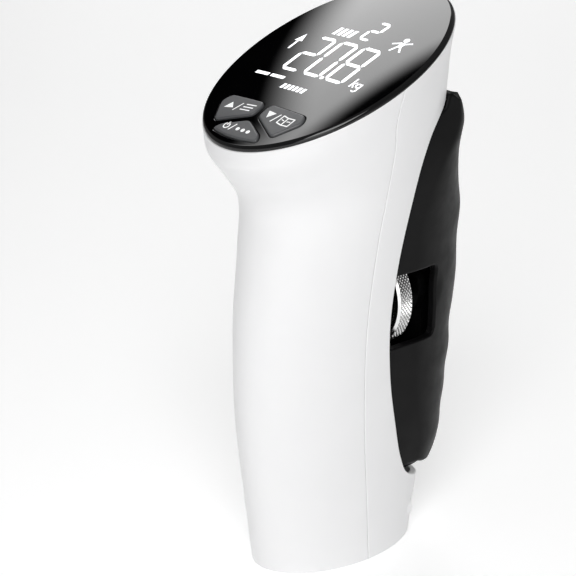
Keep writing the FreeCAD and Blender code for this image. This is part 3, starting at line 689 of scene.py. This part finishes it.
def display_marks():
    lift = 0.04
    parts = []
    for shape, x in READING:
        parts += digit(shape, x, 0.06, 2.9, 7.26, 1.12, 0.3, lift)
    parts.append(prism(circle(5.72, -7.2, 0.62), lift))
    parts += digit("2", 4.4, 14.3, 1.75, 3.9, 0.95, 0.35, lift)
    for x in (-16.7, -10.5):
        parts.append(prism(((x, -11.35), (x + 5.2, -11.35), (x + 5.3, -10.25), (x + 0.1, -10.25)),
                           lift))
    parts += drawn(ARROW + UNIT_MARK, lift) + bars(-3.3, 6.0, -14.5, -12.6, 6, 0.35, lift)
    parts += bars(-7.8, -0.1, 9.6, 12.9, 4, 0.6, lift) + drawn(FIGURE, lift)
    piece = new_object("display_figures", *joined(parts), smooth=False)
    finish_piece(piece, "casing", "led_module", look="lit_marks")


def button_marks():
    for body, rows in KEY_MARKS.items():
        parts = drawn(rows, BUTTON_RAISE + 0.03)
        piece = new_object(body + "_mark", *joined(parts), smooth=False)
        finish_piece(piece, body, "grey_button", look="print")


# ---- squeeze handle ----
GRIP_PLACES = np.linspace(0, len(GRIP) - 1, 1201)
GRIP_HEIGHTS = smooth_rows(GRIP, GRIP_PLACES)[:, 0]
ARCH_FINE, HEEL_FINE, LIP_FINE = (fine_table([(-x, z) for x, z in table[:0:-1]] + list(table))
                                  for table in (GRIP_ARCH, GRIP_HEEL, GRIP_LIP))
CROWN_FINE = fine_table(GRIP_CROWN)
SKIN_LINE, RIDGE_LINE = np.array(SKIN_BACK).T, np.array(GRIP_RIDGE).T


def soft_min(a, b, k):
    """The smaller of two lengths, blended over about k."""
    h = np.clip(0.5 + 0.5 * (b - a) / k, 0, 1)
    return b * (1 - h) + a * h - k * h * (1 - h)


def arc_point(turn, half, depth):
    """Point of the rounded back: x, and how far it is beyond the flank's end."""
    c, s, p = np.cos(turn), np.sin(turn), GRIP_POWER
    r = (np.abs(c / half) ** p + np.abs(s / depth) ** p) ** (-1 / p)
    return r * c, r * s


def grip_place(q):
    """q is (distance round the back from its middle, height); the right flank is negative."""
    u, z = q[:, 0], q[:, 1]
    _, half, flank, back = smooth_rows(GRIP, np.interp(z, GRIP_HEIGHTS, GRIP_PLACES)).T
    depth = back - flank
    side = np.where(u < 0, 1.0, -1.0)
    turn = 0.5 * math.pi * (1 - np.minimum(np.abs(u), ARC_SPAN) / ARC_SPAN)
    x, beyond = arc_point(turn, half, depth)
    y = flank + beyond - np.maximum(np.abs(u) - ARC_SPAN, 0)
    centre_x = WINDOW_HALF + SCOOP_RADIUS - SCOOP_DEPTH
    reach = SCOOP_RADIUS ** 2 - (y - SCOOP_AT[0]) ** 2 - (z - SCOOP_AT[1]) ** 2
    scoop = centre_x - np.sqrt(np.maximum(reach, 0.0))
    x = np.where(reach > 0, soft_min(x, scoop, 0.5), x)
    return np.stack((side * x, y, z), 1)


def flank_u(y, z):
    """Domain distance, right side, of the flank or back line at depth y."""
    _, half, flank, back = smooth_rows(GRIP, np.interp(z, GRIP_HEIGHTS, GRIP_PLACES)).T
    depth = back - flank
    low, high = np.zeros_like(y), np.full_like(y, 0.5 * math.pi)
    for _ in range(30):
        turn = 0.5 * (low + high)
        above = flank + arc_point(turn, half, depth)[1] > y
        high, low = np.where(above, turn, high), np.where(above, low, turn)
    on_arc = -(1 - turn / (0.5 * math.pi)) * ARC_SPAN
    return np.where(y > flank, on_arc, -(ARC_SPAN + flank - y))


def top_height(x, y):
    """Height of the top: arched across, rising to the fingers, with a ridge beside the casing."""
    ridge = np.interp(y - np.interp(np.abs(x), *SKIN_LINE), *RIDGE_LINE)
    return np.minimum(np.interp(x, *ARCH_FINE.T), np.maximum(np.interp(y, *CROWN_FINE.T), ridge))


def heel_height(x, y):
    """Height of the heel: it rises towards the fingers and the flanks, but for its inner lip."""
    rising = np.interp(x, *HEEL_FINE.T) + HEEL_SLOPE * (y - HEEL_Y)
    return np.maximum(rising, np.interp(x, *LIP_FINE.T))


def end_heights(u, height, start):
    """Heights at which lines of the handle meet its top or heel."""
    z = np.full(len(u), float(start))
    for _ in range(80):
        x, y, _ = grip_place(np.stack((u, z), 1)).T
        z = 0.7 * z + 0.3 * height(x, y)
    return z


def front_point(z):
    """(y, z) of the flanks' front edge at a height."""
    return np.interp(z, *GRIP_FRONT.T), z


def grip_cover():
    back, low, high = WINDOW
    corner = WINDOW_CORNER
    bend, upper, lower = back - corner, high - corner, low + corner
    a = np.radians(np.linspace(0, 90, 8))
    top_z = end_heights(np.array([TOP_FLANK]), top_height, TOP_GUESS)[0]
    heel_z = end_heights(np.array([HEEL_FLANK]), heel_height, HEEL_GUESS)[0]
    edge = [front_point(z) for z in np.arange(top_z, high + 0.4, -EDGE_STEP)]
    edge.append(front_point(high))
    edge += [(y, high) for y in np.arange(WINDOW_FRONT, bend, EDGE_STEP)]
    edge += [(bend + corner * math.sin(t), upper + corner * math.cos(t)) for t in a]
    edge += [(back, z) for z in np.arange(upper - 1.0, lower, -EDGE_STEP)]
    edge += [(bend + corner * math.cos(t), lower - corner * math.sin(t)) for t in a]
    edge += [(y, low) for y in np.arange(bend - 1.0, WINDOW_FRONT - 1.0, -EDGE_STEP)]
    edge.append(front_point(low))
    edge += [front_point(z) for z in np.arange(low - 1.0, heel_z, -EDGE_STEP)]
    edge = np.array(edge)
    right = np.stack((flank_u(edge[:, 0], edge[:, 1]), edge[:, 1]), 1)
    right = right[(right[:, 1] < top_z - 0.6) & (right[:, 1] > heel_z + 0.6)]
    ends = np.array([heel_z, top_z])
    start, end = flank_u(np.interp(ends, *GRIP_FRONT.T), ends)
    n = END_POINTS
    heel_u, arch_u = np.linspace(start, -start, n), np.linspace(-end, end, n)
    heel = np.stack((heel_u, end_heights(heel_u, heel_height, HEEL_GUESS)), 1)
    arch = np.stack((arch_u, end_heights(arch_u, top_height, TOP_GUESS)), 1)
    loop = np.vstack((heel, mirrored(right[::-1], 0.0), arch, right))
    beside = np.abs(right[:, 1] - SCOOP_AT[1]) < SCOOP_REACH
    side = np.where(beside, SCOOP_ROUND, FLANK_ROUND)
    radii = np.concatenate((np.full(n, HEEL_ROUND), side[::-1], np.full(n, TOP_ROUND), side))
    for k in (0, n - 1, n + len(right), 2 * n - 1 + len(right)):
        radii[k] = CORNER_ROUND
    shell = sheet(grip_place, [loop], 1.0, GRIP_WALL, [radii], arcs=5)
    parts = [shell, grip_cap(arch, top_height, 1), grip_cap(heel, heel_height, -1)]
    piece = new_object("handle_cover", *joined(parts))
    finish_piece(piece, "grip", "black_grip", "grip_cover")


def grip_cap(line, height, sign):
    """Plate that closes the handle's top (1) or heel (-1), just inside its rounded edge."""
    half = line[line[:, 0] <= 0.01][::-sign]
    points, normals, _, _ = surface_at(grip_place, half)
    inner = points - normals * (GRIP_WALL - CAP_BITE)
    inner = inner[inner[:, 0] > 0.5]
    across = np.linspace(-1, 1, 61)
    x = inner[:, :1] * across[None, :]
    y = np.repeat(inner[:, 1:2], len(across), axis=1)
    step = height(inner[:, 0], inner[:, 1]) - inner[:, 2]
    fall = step[:, None] * np.exp((np.abs(x) - inner[:, :1]) / 2.0)
    rows = [np.stack((x, y, height(x, y) - fall - sign * lift), -1)
            for lift in (CAP_SINK, CAP_DEPTH)]
    m, n = rows[0].shape[:2]
    verts = np.vstack([r.reshape(-1, 3) for r in rows])
    out = np.tile((0.0, 0.0, sign), (m * n, 1))
    faces = []
    for i in range(m - 1):
        for j in range(n - 1):
            a = i * n + j
            quad = (a, a + 1, a + n + 1, a + n)
            faces += [quad[::sign], tuple(k + m * n for k in quad)[::-sign]]
    rim = list(range(n)) + [i * n + n - 1 for i in range(1, m)]
    rim += [(m - 1) * n + j for j in range(n - 2, -1, -1)] + [i * n for i in range(m - 2, 0, -1)]
    for a, b in zip(rim, rim[1:] + rim[:1]):
        faces.append((b, a, a + m * n, b + m * n)[::sign])
    return verts, faces, np.vstack((out, -out))


# ---- adjusting wheel and spindle ----
def spun(rings, turns):
    """Points round the spindle's line for rings of (y, radius)."""
    return [np.stack((r * np.cos(turns), np.full(len(turns), y), AXIS_Z + r * np.sin(turns)), 1)
            for y, r in rings]


def knurl_height(i, j):
    """Height of the knurl, 0 in the grooves, at quarter steps round (i) and along (j)."""
    down = np.minimum((i + j) % 4, 4 - (i + j) % 4)
    up = np.minimum((i - j) % 4, 4 - (i - j) % 4)
    return np.clip(np.minimum(down, up) / 1.6, 0, 1)


def wheel():
    steps, rows = KNURL_ROUND * 4, KNURL_ROWS
    start, end = WHEEL_FRONT + WHEEL_CHAMFER, WHEEL_BACK - WHEEL_CHAMFER
    inner = WHEEL_R - WHEEL_CHAMFER
    rings = [(WHEEL_FRONT, SPINDLE_R), (WHEEL_FRONT, HUB_R), (WHEEL_FRONT + 0.25, HUB_R + 0.25),
             (WHEEL_FRONT + 0.25, inner - 1.6), (WHEEL_FRONT, inner - 1.3), (WHEEL_FRONT, inner),
             (start - 0.06, WHEEL_R - 0.1)]
    first = len(rings)
    raised = [np.ones(steps)] * first
    for j in range(rows + 1):
        raised.append(knurl_height(np.arange(steps), j))
        rings.append((start + (end - start) * j / rows, WHEEL_R - KNURL_DEPTH * (1 - raised[-1])))
    rings += [(end + 0.06, WHEEL_R - 0.1), (WHEEL_BACK, inner), (WHEEL_BACK, RECESS_R),
              (WHEEL_BACK - RECESS_DEPTH, RECESS_R - 0.2), (WHEEL_BACK - RECESS_DEPTH, HUB_R),
              (HUB_BACK - 0.3, HUB_R), (HUB_BACK, HUB_R - 0.3), (HUB_BACK, SPINDLE_R)]
    raised += [np.ones(steps)] * (len(rings) - len(raised))
    verts = spun(rings, 2 * math.pi * np.arange(steps) / steps)
    faces = []
    for k, quad in enumerate(ring_strip(verts, closed=True)):
        i, j = k % steps, k // steps - first
        if not 0 <= j < rows:
            faces.append(quad)
        elif (i + j) % 2 == 1 or (i - j) % 4 == 2:
            faces += [(quad[0], quad[1], quad[3]), (quad[1], quad[2], quad[3])]
        else:
            faces += [(quad[0], quad[1], quad[2]), (quad[0], quad[2], quad[3])]
    piece = new_object("knurled_wheel", np.vstack(verts), faces, smooth=False)
    # the knurl's height, which the material turns into painted shade in the grooves
    heights = piece.data.attributes.new("knurl", "FLOAT", "POINT")
    heights.data.foreach_set("value", np.concatenate(raised))
    finish_piece(piece, "wheel", "knurled_steel", "adjusting_wheel")


def spindle():
    steps = 72
    turns = 2 * math.pi * np.arange(steps) / steps
    rings = [(SPINDLE_FRONT, JOURNAL_R - 0.3), (SPINDLE_FRONT + 0.3, JOURNAL_R),
             (CLIP_FRONT, JOURNAL_R), (CLIP_FRONT, CLIP_R), (CLIP_BACK, CLIP_R),
             (CLIP_BACK, JOURNAL_R), (WHEEL_FRONT, JOURNAL_R), (WHEEL_FRONT, SPINDLE_R),
             (HUB_BACK, SPINDLE_R)]
    pitch = THREAD_LEAD / THREAD_STARTS
    thread_end = SPINDLE_BACK - 0.6
    for y in np.arange(HUB_BACK + 0.1, thread_end, 0.2):
        phase = (y / pitch - THREAD_STARTS * turns / (2 * math.pi)) % 1.0
        flank = np.clip((np.abs(phase - 0.5) - 0.12) / 0.26, 0, 1)
        fade = np.clip(y - HUB_BACK, 0, 1) * np.clip(thread_end - y, 0, 1)
        rings.append((y, SPINDLE_R - THREAD_DEPTH * flank * fade))
    rings += [(SPINDLE_BACK - 0.5, SPINDLE_R), (SPINDLE_BACK, SPINDLE_R - 0.5)]
    verts = spun(rings, turns)
    last = (len(verts) - 1) * steps
    faces = ring_strip(verts)
    faces += [tuple(range(steps)), tuple(range(last, last + steps))[::-1]]
    piece = new_object("threaded_spindle", np.vstack(verts), faces, smooth=False)
    finish_piece(piece, "wheel", "dark_steel", "spindle")


# ---- materials ----
def preset(node, **values):
    """Set inputs of a node; an underscore stands for a space in an input's name."""
    for name, value in values.items():
        node.inputs[name.replace("_", " ")].default_value = value
    return node


class Look:
    """A material's node tree, with short calls for the nodes used here."""

    def __init__(self, name, rough, metallic=0.0, specular=0.5, coat=0.0, coat_rough=0.05):
        self.material = bpy.data.materials.new(name)
        self.material.use_nodes = True
        self.nodes = self.material.node_tree.nodes
        self.links = self.material.node_tree.links
        self.shader = preset(self.nodes["Principled BSDF"], Roughness=rough, Metallic=metallic,
                             Specular_IOR_Level=specular, Coat_Weight=coat,
                             Coat_Roughness=coat_rough)
        self.coords = self.nodes.new("ShaderNodeTexCoord").outputs["Object"]

    def link(self, source, node, socket):
        self.links.new(source, node.inputs[socket])

    def texture(self, kind, size, vector, **values):
        """Texture whose grains are about size millimetres wide."""
        node = preset(self.nodes.new(kind), Scale=1.0 / (size * MM), **values)
        self.link(vector or self.coords, node, "Vector")
        return node

    def stretched(self, scale):
        node = preset(self.nodes.new("ShaderNodeMapping"), Scale=scale)
        self.link(self.coords, node, "Vector")
        return node.outputs["Vector"]

    def noise(self, size, detail=3.0, vector=None):
        node = self.texture("ShaderNodeTexNoise", size, vector, Detail=detail, Roughness=0.55)
        return node.outputs["Fac"]

    def cell_edges(self, size):
        node = self.texture("ShaderNodeTexVoronoi", size, None)
        node.feature = "DISTANCE_TO_EDGE"
        return node.outputs["Distance"]

    def ramp(self, value, low, high):
        node = preset(self.nodes.new("ShaderNodeMapRange"), From_Min=0.35, From_Max=0.65,
                      To_Min=low, To_Max=high)
        self.link(value, node, "Value")
        return node.outputs["Result"]

    def colours(self, value, first, second, start=0.35, end=0.65):
        node = self.nodes.new("ShaderNodeValToRGB")
        for element, place, tone in zip(node.color_ramp.elements, (start, end), (first, second)):
            element.position = place
            element.color = (*tone, 1)
        self.link(value, node, "Fac")
        return node.outputs["Color"]

    def colour(self, source):
        self.link(source, self.shader, "Base Color")

    def roughness(self, source):
        self.link(source, self.shader, "Roughness")

    def glow(self, strength):
        preset(self.shader, Emission_Color=(1.0, 1.0, 1.0, 1.0), Emission_Strength=strength)

    def bump(self, source, height, below=None):
        """Bump of a height in millimetres, on top of an earlier one."""
        node = preset(self.nodes.new("ShaderNodeBump"), Distance=height * MM, Strength=1.0)
        self.link(source, node, "Height")
        if below is not None:
            self.link(below, node, "Normal")
        self.link(node.outputs["Normal"], self.shader, "Normal")
        return node.outputs["Normal"]

    def tool_marks(self, rough, stretch, depth, size):
        """Marks drawn out along the cut, in the gloss and in the surface."""
        marks = self.noise(size, vector=self.stretched(stretch))
        self.roughness(self.ramp(marks, rough * 0.75, rough * 1.3))
        self.bump(marks, depth)


def moulded(name, light, dark, rough, grain, depth, **gloss):
    """Moulded plastic: slow tone changes, uneven gloss and a fine spark-eroded grain."""
    look = Look(name, rough, **gloss)
    look.colour(look.colours(look.noise(18.0), dark, light))
    look.roughness(look.ramp(look.noise(6.0, 5.0), rough * 0.88, rough * 1.14))
    first = look.bump(look.noise(9.0, 2.0), 0.3 * depth)
    look.bump(look.noise(grain, 4.0), depth, first)
    return look


def print_with_painted_glow(*tones):
    """Printed mark on a key, brightened by a weak painted glow that stands in for light falling
    on it.
    """
    look = moulded("print", *tones, 0.5, 0.2, 0.002)
    # painted light: this glow brightens the print, and the key has no lamp in it
    look.glow(0.4)
    return look


def metal(name, light, dark, rough, stretch, depth, size=0.8):
    """Machined metal: tool marks and slow tone changes."""
    look = Look(name, rough, metallic=1.0)
    look.colour(look.colours(look.noise(5.0), dark, light))
    look.tool_marks(rough, stretch, depth, size)
    return look


def knurl_metal_painted_shade():
    """Bright plating, with painted shade that makes the grooves of the knurl dark."""
    look = Look("knurled_steel", 0.2, metallic=1.0)
    height = look.nodes.new("ShaderNodeAttribute")
    height.attribute_name = "knurl"
    # painted shade: dark grey in the grooves, bright on the ridges
    look.colour(look.colours(height.outputs["Fac"], (0.3, 0.3, 0.3), (0.84, 0.84, 0.84),
                             0.0, 0.7))
    look.tool_marks(0.2, (1.0, 6.0, 1.0), 0.0006, 0.5)
    return look


def circuit_board():
    look = Look("solder_mask", 0.35, coat=0.4)
    tracks = look.cell_edges(1.6)
    look.colour(look.colours(tracks, (0.02, 0.2, 0.07), (0.01, 0.1, 0.035), 0.03, 0.09))
    look.roughness(look.ramp(look.noise(2.0), 0.3, 0.42))
    look.bump(tracks, 0.02)
    return look


def lit_marks():
    look = Look("lit_marks", 0.3)
    glow = look.colours(look.noise(0.7), (0.86, 0.88, 0.92), (1.0, 1.0, 1.0))
    look.colour(glow)
    look.glow(1.0)
    look.link(glow, look.shader, "Emission Color")
    return look


# light and dark tone, roughness, size and depth of the grain, and anything else about the gloss
MOULDED = {
    "white_casing": ((0.85, 0.85, 0.855), (0.84, 0.84, 0.846), 0.32, 0.35, 0.0008,
                     {"coat": 0.1, "coat_rough": 0.3}),
    "black_lens": ((0.0012, 0.0012, 0.0014), (0.0008, 0.0008, 0.001), 0.03, 0.5, 0.00002, {}),
    "black_grip": ((0.0034, 0.0034, 0.0036), (0.0024, 0.0024, 0.0026), 0.42, 0.28, 0.0025,
                   {"specular": 0.1}),
    "black_anodised": ((0.003, 0.003, 0.003), (0.002, 0.002, 0.002), 0.5, 0.3, 0.002,
                       {"specular": 0.1}),
    "grey_button": ((0.1, 0.102, 0.106), (0.08, 0.082, 0.086), 0.36, 0.25, 0.003, {}),
    "inner_plastic": ((0.05, 0.05, 0.052), (0.04, 0.04, 0.042), 0.5, 0.4, 0.004, {}),
    "led_module": ((0.68, 0.68, 0.65), (0.6, 0.6, 0.56), 0.4, 0.4, 0.003, {}),
    "keypad_rubber": ((0.06, 0.06, 0.062), (0.045, 0.045, 0.046), 0.75, 0.3, 0.006, {}),
}
# light and dark tone, roughness, stretch of the tool marks, their depth and size
METALS = {
    "bright_steel": ((0.62, 0.61, 0.6), (0.5, 0.5, 0.5), 0.26, (1.0, 9.0, 1.0), 0.002),
    "dark_steel": ((0.02, 0.02, 0.02), (0.012, 0.012, 0.013), 0.5, (1.0, 1.0, 5.0), 0.002),
    "aluminium": ((0.7, 0.7, 0.71), (0.6, 0.6, 0.61), 0.36, (6.0, 6.0, 0.8), 0.003),
    "brass": ((0.72, 0.52, 0.2), (0.6, 0.42, 0.15), 0.24, (1.0, 8.0, 1.0), 0.002),
    "battery_foil": ((0.6, 0.62, 0.64), (0.5, 0.52, 0.54), 0.34, (1.5, 0.5, 1.5), 0.03, 2.5),
}


def make_materials():
    looks = {name: moulded(name, *row, **gloss) for name, (*row, gloss) in MOULDED.items()}
    looks.update((name, metal(name, *row)) for name, row in METALS.items())
    looks["circuit_board"] = circuit_board()
    looks["knurled_steel"] = knurl_metal_painted_shade()
    looks["lit_marks"] = lit_marks()
    looks["print"] = print_with_painted_glow((0.8, 0.8, 0.8), (0.7, 0.7, 0.7))
    return {name: look.material for name, look in looks.items()}


def dress_frame():
    """Give every carried-over node the material of its slot."""
    slots = {row["node"]: row["material_slot"] for row in frame["record"]["subparts"]}
    for name, node in frame["nodes"].items():
        node.data.materials.clear()
        node.data.materials.append(MATERIALS[slots[name]])


# ---- stage ----
def stage():
    n = FLOOR_CELLS
    at = np.linspace(-FLOOR_HALF, FLOOR_HALF, n + 1)
    verts = [(x, y, -FLOOR_DROP) for y in at for x in at]
    corners = [j * (n + 1) + i for j in range(n) for i in range(n)]
    faces = [(a, a + 1, a + n + 2, a + n + 1) for a in corners]
    floor = new_object("studio_floor", np.array(verts) / MM, faces)
    look = Look("pale_floor", 0.55)
    look.colour(look.colours(look.noise(400.0), (0.945, 0.945, 0.945), (0.955, 0.955, 0.955)))
    look.glow(FLOOR_GLOW)               # so that its far part reads as near white
    floor.data.materials.append(look.material)

    studio_world()
    for box in SOFT_BOXES:
        soft_box(*box)


def studio_world():
    """Dim room with a black screen that the window mirrors, and a bright strip above it."""
    world = bpy.data.worlds.new("studio")
    world.use_nodes = True
    nodes, links = world.node_tree.nodes, world.node_tree.links
    nodes.clear()

    def math_node(operation, *inputs):
        node = nodes.new("ShaderNodeMath")
        node.operation = operation
        for k, value in enumerate(inputs):
            if isinstance(value, (int, float)):
                node.inputs[k].default_value = value
            else:
                links.new(value, node.inputs[k])
        return node.outputs["Value"]

    def times(*values):
        return math_node("MULTIPLY", *values)

    def fade(value, span, low, high):
        node = preset(nodes.new("ShaderNodeMapRange"), From_Min=math.radians(span[0]),
                      From_Max=math.radians(span[1]), To_Min=low, To_Max=high)
        node.interpolation_type = "SMOOTHSTEP"
        links.new(value, node.inputs["Value"])
        return node.outputs["Result"]

    def fade_in(value, span):
        return fade(value, span, 0.0, 1.0)

    def fade_out(value, span):
        return fade(value, span, 1.0, 0.0)

    parts = nodes.new("ShaderNodeSeparateXYZ")
    links.new(nodes.new("ShaderNodeTexCoord").outputs["Generated"], parts.inputs["Vector"])
    x, y, z = (parts.outputs[k] for k in "XYZ")
    c, d = math.cos(math.radians(STRIP_AZIMUTH)), math.sin(math.radians(STRIP_AZIMUTH))
    along = math_node("ADD", times(x, c), times(y, d))
    aside = math_node("SUBTRACT", times(y, c), times(x, d))
    off = math_node("ARCTAN2", aside, along)
    rise = math_node("ARCSINE", z)
    near = math_node("MAXIMUM", off, -STRIP_SLANT_LIMIT)
    near = math_node("MINIMUM", near, STRIP_SLANT_LIMIT)
    slanted = math_node("SUBTRACT", rise, times(near, STRIP_SLANT))
    width = math_node("ABSOLUTE", off)
    strip = times(fade_in(slanted, STRIP_RISE), fade_out(rise, STRIP_TOP))
    strip = times(strip, fade_out(width, STRIP_SIDES))
    strip = times(strip, STRIP_LEVEL)
    screen = times(fade_out(width, SCREEN_SIDES), fade_in(rise, SCREEN_FOOT))
    screen = times(screen, fade_out(rise, SCREEN_TOP))
    room = times(math_node("SUBTRACT", 1.0, screen), ROOM_LEVEL)
    seen = nodes.new("ShaderNodeLightPath").outputs["Is Camera Ray"]
    light = times(math_node("ADD", room, strip), math_node("SUBTRACT", 1.0, seen))
    background = preset(nodes.new("ShaderNodeBackground"), Color=(1.0, 1.0, 1.0, 1.0))
    links.new(math_node("ADD", light, times(seen, BACKDROP_LEVEL)),
              background.inputs["Strength"])
    output = nodes.new("ShaderNodeOutputWorld")
    links.new(background.outputs["Background"], output.inputs["Surface"])
    bpy.context.scene.world = world


def soft_box(name, at, target, width, height, watts):
    light = bpy.data.lights.new(name, "AREA")
    light.shape = "RECTANGLE"
    light.size, light.size_y = width, height
    light.energy = watts
    piece = placed(name, light)
    piece.location = at
    piece.rotation_euler = (Vector(target) - Vector(at)).to_track_quat("-Z", "Y").to_euler()


def camera():
    azimuth, elevation = math.radians(CAMERA_AZIMUTH), math.radians(CAMERA_ELEVATION)
    data = bpy.data.cameras.new("camera")
    data.sensor_width = CAMERA_SENSOR
    data.lens = CAMERA_LENS
    data.clip_end = CAMERA_FAR
    piece = placed("camera", data)
    back = Vector((math.sin(azimuth) * math.cos(elevation),
                   -math.cos(azimuth) * math.cos(elevation), math.sin(elevation)))
    right = Vector((math.cos(azimuth), math.sin(azimuth), 0.0))
    up = back.cross(right)
    turn = Matrix((right, up, back)).transposed()
    piece.matrix_world = Matrix.Translation(CAMERA_AT) @ turn.to_4x4()
    bpy.context.scene.camera = piece


MATERIALS = make_materials()
dress_frame()
casing()
display()
display_marks()
button_marks()
grip_cover()
wheel()
spindle()
stage()
camera()
bpy.context.scene.view_settings.view_transform = "Standard"
